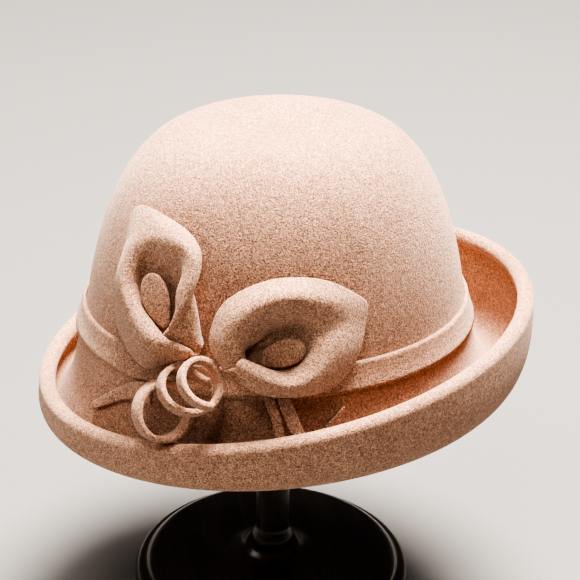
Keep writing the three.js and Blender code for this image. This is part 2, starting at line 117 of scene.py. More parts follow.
def spline(knots, t):
    """Centripetal Catmull-Rom curve. knots is (n, ..., 3) and t is an array of shares of the way
    from the first knot to the last. A span's point is the cubic that matches the slopes of the
    chords beside it, spaced by the square root of their lengths."""
    knots = np.asarray(knots, float)
    spans = len(knots) - 1
    place = np.clip(np.asarray(t, float), 0, 1) * spans
    span = np.minimum(place.astype(int), spans - 1)
    s = (place - span).reshape(place.shape + (1,) * (knots.ndim - 1))
    before = 2 * knots[0] - knots[1]
    after = 2 * knots[-1] - knots[-2]
    padded = np.concatenate([before[None], knots, after[None]])
    p0, p1, p2, p3 = (padded[span + k] for k in range(4))
    gap = [np.maximum(np.linalg.norm(b - a, axis=-1, keepdims=True), 1e-6) ** 0.5 for a, b in
           ((p0, p1), (p1, p2), (p2, p3))]
    m1 = (p1 - p0) / gap[0] - (p2 - p0) / (gap[0] + gap[1]) + (p2 - p1) / gap[1]
    m2 = (p2 - p1) / gap[1] - (p3 - p1) / (gap[1] + gap[2]) + (p3 - p2) / gap[2]
    m1, m2 = m1 * gap[1], m2 * gap[1]
    return (
        (2 * s**3 - 3 * s**2 + 1) * p1 + (s**3 - 2 * s**2 + s) * m1
        + (-2 * s**3 + 3 * s**2) * p2 + (s**3 - s**2) * m2
    )


def ellipse(angle, half, rise, shift=0.0):
    """A level ellipse of two half widths at a height, moved along +Y by the shift."""
    return np.stack([half[0] * np.cos(angle), half[1] * np.sin(angle) + shift, rise + 0 * angle], -1)


def crown_point(angle, rise):
    """The crown at a rise above the band line: an ellipse whose share of full size is
    (1 - high^top)^(1/side), spread by a cubic flare near the foot."""
    high = np.clip(rise / CROWN_HEIGHT, 0, 1)
    share = (1 - high**CROWN_TOP_POWER) ** (1 / CROWN_SIDE_POWER)
    flare = FLARE_OUT * np.clip((FLARE_HEIGHT - rise) / FLARE_HEIGHT, 0, None) ** 3
    half = (CROWN_HALF[0] * share + flare, CROWN_HALF[1] * share + flare)
    return ellipse(angle, half, BAND_LINE + rise)


def brim_out(angle):
    """Level direction square to the roll's ellipse."""
    return unit(np.stack([np.cos(angle) / ROLL_HALF[0], np.sin(angle) / ROLL_HALF[1], 0 * angle], -1))


def roll_point(angle, turn):
    """A circle of the roll's radius, standing across the tilted ellipse of its middle."""
    middle = ellipse(angle, ROLL_HALF, ROLL_LINE + ROLL_TILT * np.sin(angle), ROLL_SHIFT_BACK)
    turn = turn + 0 * angle
    spoke = brim_out(angle) * np.cos(turn)[..., None] + UP * np.sin(turn)[..., None]
    return middle + ROLL_RADIUS * spoke


def brim_point(angle, share):
    """Cubic Bezier from the crown's foot, down through the trough and up to the roll."""
    foot = crown_point(angle, 0 * angle)
    top = roll_point(angle, ROLL_FOOT_TURN)
    out = brim_out(angle)
    lowest = FOLD_LINE + FOLD_TILT * np.sin(angle) + FELT
    pull = (8 * lowest - foot[..., 2] - top[..., 2]) / 6
    leave = foot + BRIM_LEAVE * out
    arrive = top + BRIM_BULGE * out
    leave[..., 2] = pull
    arrive[..., 2] = pull
    s = (share + 0 * angle)[..., None]
    return (1 - s) ** 3 * foot + 3 * s * (1 - s) ** 2 * leave + 3 * s * s * (1 - s) * arrive + s**3 * top


def sheet_point(angle, way):
    """The felt's upper face: way 0 to 1 from the crown's top to the band line, 1 to 2 to the roll.
    The rise on the crown, in shares of its height, is the sine of the way's quarter turn, to the
    power 2 / top power."""
    angle, way = np.broadcast_arrays(np.asarray(angle, float), np.asarray(way, float))
    quarter = (1 - np.clip(way, 0, 1)) * math.pi / 2
    rise = CROWN_HEIGHT * np.sin(quarter) ** (2 / CROWN_TOP_POWER)
    on_brim = brim_point(angle, np.clip(way - 1, 0, 1))
    return np.where((way > 1)[..., None], on_brim, crown_point(angle, rise))


def sheet_normal(angle, way, step=1e-3):
    """The cross product of two short chords of the upper face, one down the felt and one round it."""
    later = sheet_point(angle, np.minimum(2, way + step))
    earlier = sheet_point(angle, np.maximum(LEAST_WAY, way - step))
    aside = sheet_point(angle + step, way) - sheet_point(angle - step, way)
    return unit(np.cross(later - earlier, aside))


# The way of each height below the band line, tabled round the hat so that trim can look it up
DIP_COLUMNS = 181
DIP_ROWS = 160
DIP_LAST_WAY = 1.45
DIP_ANGLES = np.linspace(-math.pi, math.pi, DIP_COLUMNS)
DIP_WAYS = np.linspace(1, DIP_LAST_WAY, DIP_ROWS)
DIP_RISES = sheet_point(DIP_ANGLES[:, None], DIP_WAYS[None, :])[..., 2] - BAND_LINE


def way_at_rise(angle, rise):
    """The way of a height over the band line: the crown's formula turned round above it, and below it
    the table, read straight between its rows and columns."""
    angle, rise = np.broadcast_arrays(np.asarray(angle, float), np.asarray(rise, float))
    high = np.clip(rise / CROWN_HEIGHT, 0, 1)
    upper = 1 - np.arcsin(high ** (CROWN_TOP_POWER / 2)) / (math.pi / 2)
    column = (angle + math.pi) / TAU * (DIP_COLUMNS - 1)
    left = np.clip(column.astype(int), 0, DIP_COLUMNS - 2)
    table = mix(DIP_RISES[left], DIP_RISES[left + 1], (column - left)[..., None])
    row = np.clip((table > rise[..., None]).sum(-1), 1, DIP_ROWS - 1)
    above = np.take_along_axis(table, (row - 1)[..., None], -1)[..., 0]
    below = np.take_along_axis(table, row[..., None], -1)[..., 0]
    part = np.clip((above - rise) / np.maximum(above - below, 1e-6), 0, 1)
    return np.where(rise >= 0, upper, mix(DIP_WAYS[row - 1], DIP_WAYS[row], part))


def band_lift(rise, reach):
    """What lies on the crown passes over the band and comes back to the crown within a reach. The
    full lift holds over the first BAND_HOLD of the reach."""
    past = np.maximum(np.maximum(rise - BAND_HEIGHT, -rise), 0) / reach
    return (CLEAR + BAND_THICK) * (1 - smoothstep(BAND_HOLD, 1, past))


def wall_point(place, lift, reach=BAND_STEP):
    """Places [round, rise, out] from the knot, in shares of the flower's length, on the crown or the
    brim. lift is the distance from the felt or band below to the middle of what lies there."""
    place = np.asarray(place, float)
    angle = TRIM_TURN + place[..., 0] * FLOWER_LENGTH / TRIM_ARC
    height = place[..., 1] * FLOWER_LENGTH + TRIM_RISE
    way = way_at_rise(angle, height)
    out = band_lift(height, reach) + lift + place[..., 2] * FLOWER_LENGTH
    return sheet_point(angle, way) + out[..., None] * sheet_normal(angle, way)


# Meshes


def mesh_object(name, points, faces, material, smooth=True):
    """One mesh from points in millimetres and a list of face arrays of three or four corners."""
    mesh = bpy.data.meshes.new(name)
    loops = np.concatenate([f.ravel() for f in faces])
    sizes = np.concatenate([np.full(len(f), f.shape[1]) for f in faces])
    starts = np.concatenate([[0], np.cumsum(sizes)[:-1]])
    mesh.vertices.add(len(points))
    mesh.vertices.foreach_set("co", (np.asarray(points) * MM).ravel())
    mesh.loops.add(len(loops))
    mesh.loops.foreach_set("vertex_index", loops)
    mesh.polygons.add(len(sizes))
    mesh.polygons.foreach_set("loop_start", starts)
    mesh.polygons.foreach_set("use_smooth", np.full(len(sizes), smooth))
    mesh.update(calc_edges=True)
    mesh.validate()
    mesh.materials.append(material)
    piece = bpy.data.objects.new(name, mesh)
    bpy.context.collection.objects.link(piece)
    return piece


def ring_solid(name, rings, material, tips=None):
    """A closed skin over rings of points, shape (rings, sides, 3). Without tips the last ring joins
    the first, as in a tyre. With tips, two points, a fan closes each end. Faces are turned to point
    outwards: the signed volume between the quads and the origin has to be positive."""
    count, sides = rings.shape[:2]
    index = np.arange(count * sides).reshape(count, sides)
    low = index if tips is None else index[:-1]
    high = np.roll(index, -1, 0) if tips is None else index[1:]
    quads = np.stack([low, high, np.roll(high, -1, 1), np.roll(low, -1, 1)], -1).reshape(-1, 4)
    verts = rings.reshape(-1, 3)
    faces = [quads]
    if tips is not None:
        verts = np.vstack([verts, tips])
        first, last = len(verts) - 2, len(verts) - 1
        start, stop = index[0], index[-1]
        faces.append(np.stack([np.full(sides, first), start, np.roll(start, -1)], -1))
        faces.append(np.stack([np.full(sides, last), np.roll(stop, -1), stop], -1))
    a, b, c = (verts[quads[:, k]] for k in range(3))
    d = verts[quads[:, 3]]
    volume = np.einsum("ij,ij->", a, np.cross(b, c)) + np.einsum("ij,ij->", a, np.cross(c, d))
    if volume < 0:
        faces = [f[:, ::-1] for f in faces]
    return mesh_object(name, verts, faces, material)


def finish_piece(piece, slot, *nodes):
    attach(piece, "root")
    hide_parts(*nodes)


# Materials


def new_material(name):
    material = bpy.data.materials.new(name)
    material.use_nodes = True
    tree = material.node_tree
    shader = tree.nodes["Principled BSDF"]
    coords = tree.nodes.new("ShaderNodeTexCoord").outputs["Object"]
    return material, tree, shader, coords


def noise(tree, coords, scale, detail, roughness, distortion=0.0):
    node = tree.nodes.new("ShaderNodeTexNoise")
    node.inputs["Scale"].default_value = scale
    node.inputs["Detail"].default_value = detail
    node.inputs["Roughness"].default_value = roughness
    node.inputs["Distortion"].default_value = distortion
    tree.links.new(coords, node.inputs["Vector"])
    return node.outputs["Fac"]


def ramp(tree, value, *stops):
    node = tree.nodes.new("ShaderNodeValToRGB")
    while len(node.color_ramp.elements) < len(stops):
        node.color_ramp.elements.new(0.5)
    for element, (place, colour) in zip(node.color_ramp.elements, stops):
        element.position = place
        element.color = (*colour, 1)
    tree.links.new(value, node.inputs["Fac"])
    return node.outputs["Color"]


def multiply(tree, a, b):
    """The product of two colours. A mix node's input 0 is its share, and its inputs 6 and 7 and its
    output 2 are its colours."""
    node = tree.nodes.new("ShaderNodeMix")
    node.data_type = "RGBA"
    node.blend_type = "MULTIPLY"
    node.inputs[0].default_value = 1.0
    tree.links.new(a, node.inputs[6])
    tree.links.new(b, node.inputs[7])
    return node.outputs[2]


def bump(tree, height, distance, strength, under=None):
    node = tree.nodes.new("ShaderNodeBump")
    node.inputs["Distance"].default_value = distance
    node.inputs["Strength"].default_value = strength
    tree.links.new(height, node.inputs["Height"])
    if under is not None:
        tree.links.new(under, node.inputs["Normal"])
    return node.outputs["Normal"]


# Noise scales are per metre, depths are in metres, and a fibre's tone multiplies the wool's colour
FIBRE_SCALE = 1450
MATTING_SCALE = 520
CLOUD_SCALE = 26
FIBRE_DEPTH = 0.0006
MATTING_DEPTH = 0.0009
DENSE_WOOL = (0.480, 0.282, 0.196)
LIGHT_WOOL = (0.550, 0.330, 0.234)
DARK_FIBRE = (0.42, 0.38, 0.36)
MIDDLE_FIBRE = (0.98, 0.97, 0.96)
PALE_FIBRE = (1.45, 1.50, 1.54)
DARK_STAIN = (0.020, 0.013, 0.010)
MIDDLE_STAIN = (0.052, 0.028, 0.019)
PALE_STAIN = (0.085, 0.042, 0.026)
GRAIN_STRETCH = (6.0, 60.0, 60.0)
PORE_DEPTH = 0.0002


def felt_material():
    """Camel wool felt: matted fibres as fine grain, soft clouds of denser wool, a raised nap."""
    material, tree, shader, coords = new_material("camel_wool_felt")
    grain = noise(tree, coords, FIBRE_SCALE, 2.0, 0.6)
    matting = noise(tree, coords, MATTING_SCALE, 3.0, 0.6, 0.8)
    clouds = noise(tree, coords, CLOUD_SCALE, 3.0, 0.5)
    wool = ramp(tree, clouds, (0.3, DENSE_WOOL), (0.7, LIGHT_WOOL))
    speck = ramp(tree, grain, (0.34, DARK_FIBRE), (0.50, MIDDLE_FIBRE), (0.64, PALE_FIBRE))
    mat_tone = ramp(tree, matting, (0.36, (0.80, 0.78, 0.76)), (0.62, (1.10, 1.10, 1.10)))
    colour = multiply(tree, wool, speck)
    colour = multiply(tree, colour, mat_tone)
    tree.links.new(colour, shader.inputs["Base Color"])
    nap = bump(tree, matting, MATTING_DEPTH, 0.7)
    nap = bump(tree, grain, FIBRE_DEPTH, 0.9, nap)
    tree.links.new(nap, shader.inputs["Normal"])
    shader.inputs["Roughness"].default_value = 0.95
    shader.inputs["Specular IOR Level"].default_value = 0.12
    shader.inputs["Sheen Weight"].default_value = 0.45
    shader.inputs["Sheen Roughness"].default_value = 0.45
    shader.inputs["Sheen Tint"].default_value = (1.0, 0.86, 0.76, 1)
    return material


def wood_material():
    """Dark stained turned wood under a satin lacquer, its grain stretched across the base."""
    material, tree, shader, coords = new_material("dark_turned_wood")
    mapping = tree.nodes.new("ShaderNodeMapping")
    mapping.inputs["Scale"].default_value = GRAIN_STRETCH
    tree.links.new(coords, mapping.inputs["Vector"])
    grain = noise(tree, mapping.outputs["Vector"], 2.2, 5.0, 0.6, 1.5)
    pores = noise(tree, mapping.outputs["Vector"], 14, 3.0, 0.6)
    stain = ramp(tree, grain, (0.35, DARK_STAIN), (0.6, MIDDLE_STAIN), (0.8, PALE_STAIN))
    tone = ramp(tree, pores, (0.35, (0.65, 0.65, 0.65)), (0.6, (1.0, 1.0, 1.0)))
    tree.links.new(multiply(tree, stain, tone), shader.inputs["Base Color"])
    gloss = ramp(tree, grain, (0.3, (0.30, 0.30, 0.30)), (0.8, (0.42, 0.42, 0.42)))
    tree.links.new(gloss, shader.inputs["Roughness"])
    tree.links.new(bump(tree, pores, PORE_DEPTH, 0.4), shader.inputs["Normal"])
    shader.inputs["Coat Weight"].default_value = 0.35
    shader.inputs["Coat Roughness"].default_value = 0.22
    return material


felt = felt_material()
wood = wood_material()


# Felt body

BODY_SIDES = 288
CROWN_STEPS = 64
BRIM_STEPS = 50
ROLL_STEPS = 30
BAND_STEPS = 12
BAND_CORNER = 0.35
around = np.linspace(0, TAU, BODY_SIDES, endpoint=False)


def sheet_rings(ways, depth):
    """Rings round the felt at the given ways, a depth below its upper face."""
    angle = around[None, :]
    way = ways[:, None]
    return sheet_point(angle, way) - depth * sheet_normal(angle, way)


def hat_body():
    """The felt's upper face, the roll, and back along its under face, as one closed skin."""
    crown_ways = np.linspace(0, 1, CROWN_STEPS)[1:]
    brim_ways = 1 + np.linspace(0, 1, BRIM_STEPS)[1:]
    ways = np.concatenate([crown_ways, brim_ways])
    upper = sheet_rings(ways, 0.0)
    under = sheet_rings(ways[:-1], FELT)[::-1]
    turns = np.linspace(ROLL_FOOT_TURN, -TAU, ROLL_STEPS)[1:]
    roll = roll_point(around[None, :] + 0 * turns[:, None], turns[:, None])
    top = np.array([0, 0, BAND_LINE + CROWN_HEIGHT])
    rings = np.concatenate([upper, roll, under])
    return ring_solid("felt_body", rings, felt, np.array([top, top - [0, 0, FELT]]))


def hat_band():
    """Rings up the band's inner face and down its outer one, at distances from the felt that are even
    but for the two outer corners, which are a little lower."""
    shares = np.linspace(0, 1, BAND_STEPS)
    outer = np.full(BAND_STEPS, CLEAR + BAND_THICK)
    outer[[0, -1]] -= BAND_CORNER
    share = np.concatenate([shares, shares[::-1]])[:, None]
    out = np.concatenate([np.full(BAND_STEPS, CLEAR), outer])[:, None, None]
    angle = around[None, :]
    way = way_at_rise(angle, BAND_HEIGHT * share)
    return ring_solid("felt_band", sheet_point(angle, way) + out * sheet_normal(angle, way), felt)


# Flowers. A row is a line of places from the knot out over the lip, and the rows run round the mouth
# from one margin of the sheet to the other: [round, rise, out] of belly, throat, rim, crest and lip.

LEFT_ROWS = [
    [(-0.05, 0.03, 0.09), (-0.06, 0.04, 0.11), (-0.07, 0.05, 0.125),
     (-0.08, 0.04, 0.13), (-0.08, 0.01, 0.11)],
    [(-0.08, 0.01, 0.09), (-0.12, 0.04, 0.12), (-0.14, 0.08, 0.15),
     (-0.17, 0.07, 0.17), (-0.20, -0.05, 0.10)],
    [(-0.10, 0.00, 0.07), (-0.18, 0.05, 0.12), (-0.22, 0.11, 0.18),
     (-0.26, 0.09, 0.20), (-0.37, -0.15, 0.06)],
    [(-0.17, 0.02, 0.05), (-0.30, 0.09, 0.07), (-0.32, 0.16, 0.16),
     (-0.37, 0.14, 0.19), (-0.56, -0.06, 0.03)],
    [(-0.22, 0.06, 0.03), (-0.43, 0.19, 0.05), (-0.44, 0.23, 0.14),
     (-0.48, 0.22, 0.17), (-0.70, 0.09, 0.02)],
    [(-0.24, 0.13, 0.02), (-0.53, 0.33, 0.04), (-0.55, 0.36, 0.11),
     (-0.60, 0.36, 0.14), (-0.79, 0.27, 0.01)],
    [(-0.22, 0.17, 0.01), (-0.51, 0.44, 0.03), (-0.55, 0.50, 0.09),
     (-0.62, 0.53, 0.10), (-0.79, 0.51, 0.01)],
    [(-0.18, 0.19, 0.01), (-0.42, 0.49, 0.04), (-0.44, 0.60, 0.10),
     (-0.55, 0.64, 0.08), (-0.83, 0.71, 0.01)],
    [(-0.13, 0.18, 0.02), (-0.31, 0.48, 0.05), (-0.31, 0.60, 0.12),
     (-0.29, 0.65, 0.12), (-0.27, 0.70, 0.05)],
    [(-0.08, 0.15, 0.03), (-0.22, 0.46, 0.06), (-0.19, 0.57, 0.13),
     (-0.14, 0.59, 0.15), (-0.11, 0.61, 0.08)],
    [(-0.05, 0.13, 0.05), (-0.14, 0.40, 0.08), (-0.16, 0.47, 0.15),
     (-0.11, 0.49, 0.17), (-0.08, 0.51, 0.10)],
    [(-0.04, 0.11, 0.06), (-0.10, 0.32, 0.11), (-0.17, 0.38, 0.17),
     (-0.11, 0.40, 0.19), (-0.09, 0.41, 0.14)],
    [(-0.04, 0.08, 0.08), (-0.10, 0.20, 0.13), (-0.16, 0.27, 0.18),
     (-0.14, 0.28, 0.20), (-0.12, 0.27, 0.17)],
    [(-0.05, 0.03, 0.05), (-0.13, 0.06, 0.10), (-0.21, 0.10, 0.14),
     (-0.23, 0.11, 0.15), (-0.24, 0.09, 0.14)],
]
RIGHT_ROWS = [
    [(0.13, -0.01, 0.05), (0.24, -0.035, 0.06), (0.25, -0.015, 0.11),
     (0.18, -0.01, 0.14), (0.13, -0.05, 0.10)],
    [(0.12, 0.06, 0.06), (0.22, 0.07, 0.07), (0.22, 0.09, 0.13),
     (0.14, 0.13, 0.17), (0.03, 0.11, 0.09)],
    [(0.16, 0.10, 0.05), (0.31, 0.13, 0.05), (0.28, 0.19, 0.13),
     (0.20, 0.26, 0.18), (0.09, 0.33, 0.08)],
    [(0.20, 0.11, 0.03), (0.38, 0.18, 0.04), (0.37, 0.29, 0.13),
     (0.34, 0.37, 0.18), (0.31, 0.46, 0.07)],
    [(0.26, 0.11, 0.02), (0.48, 0.21, 0.04), (0.49, 0.32, 0.13),
     (0.51, 0.40, 0.17), (0.53, 0.485, 0.06)],
    [(0.28, 0.09, 0.02), (0.57, 0.18, 0.03), (0.60, 0.25, 0.10),
     (0.64, 0.36, 0.14), (0.74, 0.45, 0.05)],
    [(0.28, 0.08, 0.02), (0.59, 0.14, 0.03), (0.64, 0.20, 0.09),
     (0.74, 0.31, 0.11), (0.91, 0.36, 0.03)],
    [(0.28, 0.06, 0.01), (0.60, 0.10, 0.03), (0.65, 0.15, 0.09),
     (0.79, 0.21, 0.09), (1.01, 0.27, 0.01)],
    [(0.28, 0.04, 0.01), (0.59, 0.06, 0.03), (0.64, 0.09, 0.10),
     (0.76, 0.13, 0.11), (0.97, 0.12, 0.01)],
    [(0.27, 0.02, 0.01), (0.57, 0.02, 0.03), (0.61, 0.03, 0.11),
     (0.70, 0.03, 0.13), (0.89, -0.06, 0.02)],
    [(0.25, 0.00, 0.02), (0.53, -0.03, 0.04), (0.55, -0.04, 0.12),
     (0.60, -0.07, 0.16), (0.73, -0.20, 0.06)],
    [(0.23, -0.02, 0.03), (0.47, -0.07, 0.05), (0.48, -0.08, 0.14),
     (0.49, -0.12, 0.18), (0.50, -0.23, 0.11)],
    [(0.20, -0.02, 0.06), (0.34, -0.05, 0.07), (0.34, -0.01, 0.15),
     (0.34, -0.05, 0.19), (0.33, -0.20, 0.13)],
    [(0.16, 0.00, 0.09), (0.22, 0.02, 0.13), (0.22, 0.05, 0.17),
     (0.20, 0.03, 0.19), (0.21, -0.07, 0.15)],
]
LEFT_KNOT = (-0.01, 0.04, 0.04)
RIGHT_KNOT = (0.05, 0.03, 0.03)
EDGE_STEPS = 7
ALONG_STEPS = 110
ACROSS_STEPS = 190
LIP_SOFTNESS = 0.018
MARGIN_SOFTNESS = 0.009
KNOT_SHARE = 0.1


def with_soft_ends(count, reach):
    """Shares from 0 to 1, closer together within reach of each end, and the sheet's share of its full
    thickness there, which follows a quarter of an ellipse down to nothing at the very edge."""
    turn = np.linspace(0, math.pi / 2, EDGE_STEPS)
    near = reach * (1 - np.cos(turn))
    shares = np.concatenate([near, np.linspace(reach, 1 - reach, count)[1:-1], 1 - near[::-1]])
    full = np.concatenate([np.sin(turn), np.ones(count - 2), np.sin(turn)[::-1]])
    return shares, full


def sheet_solid(name, middle, half):
    """A soft closed skin half a thickness to each side of a grid of middle points. Its two faces
    share their points round the edge, where the half thickness is nothing."""
    count = middle.shape[0] * middle.shape[1]
    normal = unit(np.cross(np.gradient(middle, axis=0), np.gradient(middle, axis=1)))
    offset = half[..., None] * normal
    front = np.arange(count).reshape(half.shape)
    back = front + count
    for side in (np.s_[0], np.s_[-1], np.s_[:, 0], np.s_[:, -1]):
        back[side] = front[side]
    upper = np.stack([front[:-1, :-1], front[1:, :-1], front[1:, 1:], front[:-1, 1:]], -1).reshape(-1, 4)
    lower = np.stack([back[:-1, :-1], back[:-1, 1:], back[1:, 1:], back[1:, :-1]], -1).reshape(-1, 4)
    used, faces = np.unique(np.concatenate([upper, lower]), return_inverse=True)
    points = np.concatenate([middle + offset, middle - offset]).reshape(-1, 3)[used]
    return mesh_object(name, points, [faces.reshape(-1, 4)], felt)


def flower(name, rows, knot):
    """A sheet of felt wrapped round a hollow. A smooth line leaves the knot and passes belly, throat,
    rim, crest and lip of each row, and a smooth open curve joins each kind of place round the
    mouth, from one margin to the other."""
    along, along_full = with_soft_ends(ALONG_STEPS, LIP_SOFTNESS)
    across, across_full = with_soft_ends(ACROSS_STEPS, MARGIN_SOFTNESS)
    loops = spline(np.array(rows, float), across)
    start = np.broadcast_to(np.array(knot, float), (1, len(across), 3))
    knots = np.concatenate([start, loops.transpose(1, 0, 2)])
    places = spline(knots, mix(KNOT_SHARE, 1, along))
    middle = wall_point(places, CLEAR + PETAL_THICK / 2, PETAL_STEP)
    half = PETAL_THICK / 2 * along_full[:, None] * across_full[None, :]
    return sheet_solid(name, middle, half)


# Flat and curled strips

STRIP_SIDES = 20
STRIP_STEPS = 40
STRIP_POWER = 5.0
TONGUE_ROOT_SHARE = 0.25
TONGUE_WIDEST = 0.6
TONGUE_END_POWER = 2.2
TONGUE_LEAST = 0.004
POINT_POWER = 1.5
CURL_STEPS = 90
LEAD_SHARE = 0.14
LEAD_BEND = 0.5
NEARBY_SHARE = 0.01


def strip(name, path, face, width, thick):
    """A flat felt strip along a path: its section is a rounded bar, width across the way and thick
    along the face, whose corners follow a fifth-power oval."""
    ahead = unit(np.gradient(path, axis=0))
    across = unit(np.cross(face, ahead))
    face = unit(np.cross(ahead, across))
    turn = np.linspace(0, TAU, STRIP_SIDES, endpoint=False)
    power = 2 / STRIP_POWER
    c, s = np.cos(turn), np.sin(turn)
    wide = np.sign(c) * np.abs(c) ** power
    deep = np.sign(s) * np.abs(s) ** power
    sideways = across[:, None] * wide[None, :, None] * width[:, None, None] / 2
    outwards = face[:, None] * deep[None, :, None] * thick / 2
    rings = path[:, None] + sideways + outwards
    return ring_solid(name, rings, felt, np.array([path[0], path[-1]]))


def lying_strip(name, places, width, thick, ground):
    """A strip that follows a smooth line of places over the felt, flat to what lies below it. ground
    is how thick the layer between the strip and the felt is."""
    t = np.linspace(0, 1, STRIP_STEPS)
    route = spline(places, t)
    lift = ground + CLEAR + thick / 2
    path = wall_point(route, lift)
    face = wall_point(route, lift + 1.0) - path
    return strip(name, path, face, width(t), thick)


def tongue_width(width):
    """An egg: a quarter sine from its narrow root to its widest place, then a round end."""

    def at(t):
        swell = np.sin(math.pi / 2 * np.minimum(1, t / TONGUE_WIDEST))
        past = np.maximum(0, (t - TONGUE_WIDEST) / (1 - TONGUE_WIDEST))
        end = np.sqrt(np.clip(1 - past**TONGUE_END_POWER, TONGUE_LEAST, 1))
        return width * mix(TONGUE_ROOT_SHARE, 1, swell) * end

    return at


def pointed_end(width, tip=0.08):
    """Full width at the root, and a share of it at the tip."""
    return lambda t: width * mix(1, tip, t**POINT_POWER)


def even_width(width):
    """The same width all along."""
    return lambda t: width + 0 * t


def curl(name, root, start, stop, axis, turns, first_turn, radius):
    """A strip that leads from its root on the felt into a coil. The lead is a quadratic curve that
    meets the coil in its own direction, and the coil is a circle about a middle that moves evenly
    from start to stop. The strip's width lies along the coil's axis."""
    knot = wall_point(np.zeros(3), 0.0)
    way = way_at_rise(TRIM_TURN, 0.0)
    out = sheet_normal(np.array(TRIM_TURN), way)
    out[2] = 0
    out = unit(out)
    basis = np.array([np.cross(UP, out), UP, out])
    axle = unit(np.array(axis) @ basis)
    side = unit(np.cross(UP, axle))
    rise = np.cross(axle, side)
    first = knot + np.array(start) @ basis * FLOWER_LENGTH
    last = knot + np.array(stop) @ basis * FLOWER_LENGTH

    def spoke(s):
        angle = (math.radians(first_turn) + TAU * turns * np.maximum(0, s))[:, None]
        return np.cos(angle) * side + np.sin(angle) * rise

    def coil(s):
        return mix(first, last, s[:, None]) + spoke(s) * radius

    t = np.linspace(0, 1, int(CURL_STEPS * (turns + LEAD_SHARE)))
    s = (t - LEAD_SHARE) / (1 - LEAD_SHARE)
    begin, nearby = coil(np.array([0.0, NEARBY_SHARE]))
    foot = wall_point(np.array(root), CLEAR + math.hypot(CURL_WIDTH, CURL_THICK) / 2)
    bend = begin - unit(nearby - begin) * LEAD_BEND * np.linalg.norm(begin - foot)
    q = np.clip(t / LEAD_SHARE, 0, 1)[:, None]
    lead = (1 - q) ** 2 * foot + 2 * q * (1 - q) * bend + q * q * begin
    path = np.where((t < LEAD_SHARE)[:, None], lead, coil(s))
    face = np.cross(np.gradient(path, axis=0), axle)
    return strip(name, path, face, np.full(len(t), CURL_WIDTH), CURL_THICK)


# Stand

BASE_RADIUS = 76.0
BASE_HEIGHT = 18.0
HUB_RADIUS = 17.0
HUB_HEIGHT = 8.0
POST_RADIUS = 9.0
CAP_DEPTH = 38.0
CORNER_SHARE = 0.45
CAP_STEPS = 24
CAP_REACH = 6 / 13
CAP_TAPER = 0.96
CAP_TOP = BAND_LINE + CROWN_HEIGHT - FELT - CLEAR
CAP_UNDERSIDE = CAP_TOP - CAP_DEPTH


def turned(name, outline, steps=160):
    """A turned form: the outline's (radius, height) pairs, swept once round the upright axis."""
    outline = np.array(outline, float)
    turn = np.linspace(0, TAU, steps, endpoint=False)[None, :]
    radius, height = outline[:, :1], outline[:, 1:]
    rings = np.stack([radius * np.cos(turn), radius * np.sin(turn), height + 0 * turn], -1)
    ends = np.array([[0, 0, outline[0, 1]], [0, 0, outline[-1, 1]]])
    return ring_solid(name, rings, wood, ends)


def rounded(outline, radius, steps=5):
    """The outline with each inner corner replaced by a quadratic curve that starts and ends at most
    radius away from it, and at most CORNER_SHARE of the side away."""
    points = np.array(outline, float)
    result = [points[0]]
    for before, corner, after in zip(points[:-2], points[1:-1], points[2:]):
        into, away = before - corner, after - corner
        reach_in = min(radius, CORNER_SHARE * np.linalg.norm(into))
        reach_out = min(radius, CORNER_SHARE * np.linalg.norm(away))
        a = corner + into / np.linalg.norm(into) * reach_in
        b = corner + away / np.linalg.norm(away) * reach_out
        t = np.linspace(0, 1, steps)[:, None]
        result.extend((1 - t) ** 2 * a + 2 * t * (1 - t) * corner + t * t * b)
    result.append(points[-1])
    return result


def stand_base():
    """A turned disc with a stepped edge and a low hub at its middle."""
    edge = [
        (BASE_RADIUS * 0.9, 0),
        (BASE_RADIUS * 0.97, 0),
        (BASE_RADIUS, BASE_HEIGHT * 0.2),
        (BASE_RADIUS, BASE_HEIGHT * 0.5),
        (BASE_RADIUS * 0.97, BASE_HEIGHT * 0.68),
        (BASE_RADIUS * 0.92, BASE_HEIGHT * 0.72),
        (BASE_RADIUS * 0.9, BASE_HEIGHT * 0.88),
        (BASE_RADIUS * 0.85, BASE_HEIGHT),
        (HUB_RADIUS * 1.5, BASE_HEIGHT),
        (HUB_RADIUS, BASE_HEIGHT + HUB_HEIGHT * 0.5),
        (HUB_RADIUS * 0.8, BASE_HEIGHT + HUB_HEIGHT),
        (HUB_RADIUS * 0.4, BASE_HEIGHT + HUB_HEIGHT),
    ]
    return turned("turned_base", rounded(edge, 2.0))


def stand_post():
    """A round post with a wider foot, from just over the hub to just under the cap."""
    foot = BASE_HEIGHT + HUB_HEIGHT + CLEAR
    head = CAP_UNDERSIDE - CLEAR
    edge = [
        (POST_RADIUS * 0.6, foot),
        (POST_RADIUS * 1.3, foot),
        (POST_RADIUS * 1.3, foot + POST_RADIUS * 0.4),
        (POST_RADIUS, foot + POST_RADIUS),
        (POST_RADIUS, head),
        (POST_RADIUS * 0.5, head),
    ]
    return turned("turned_post", rounded(edge, 1.5), 96)


def stand_cap():
    """The crown's own inner form down to a way, then one ring drawn in a little to the underside."""
    ways = np.linspace(0, CAP_REACH, CAP_STEPS)[1:]
    rings = sheet_rings(ways, FELT + CLEAR)
    rim = rings[-1]
    lower = rim * CAP_TAPER
    lower[:, 2] = CAP_UNDERSIDE
    rings = np.concatenate([rings, lower[None]])
    ends = np.array([[0, 0, CAP_TOP], [0, 0, CAP_UNDERSIDE]])
    return ring_solid("hidden_cap", rings, wood, ends)


finish_piece(hat_body(), "felt", "hat_body")
finish_piece(hat_band(), "felt", "hat_band")
finish_piece(flower("flower_left", LEFT_ROWS, LEFT_KNOT), "felt", "petal_left")
finish_piece(flower("flower_right", RIGHT_ROWS, RIGHT_KNOT), "felt", "petal_right")

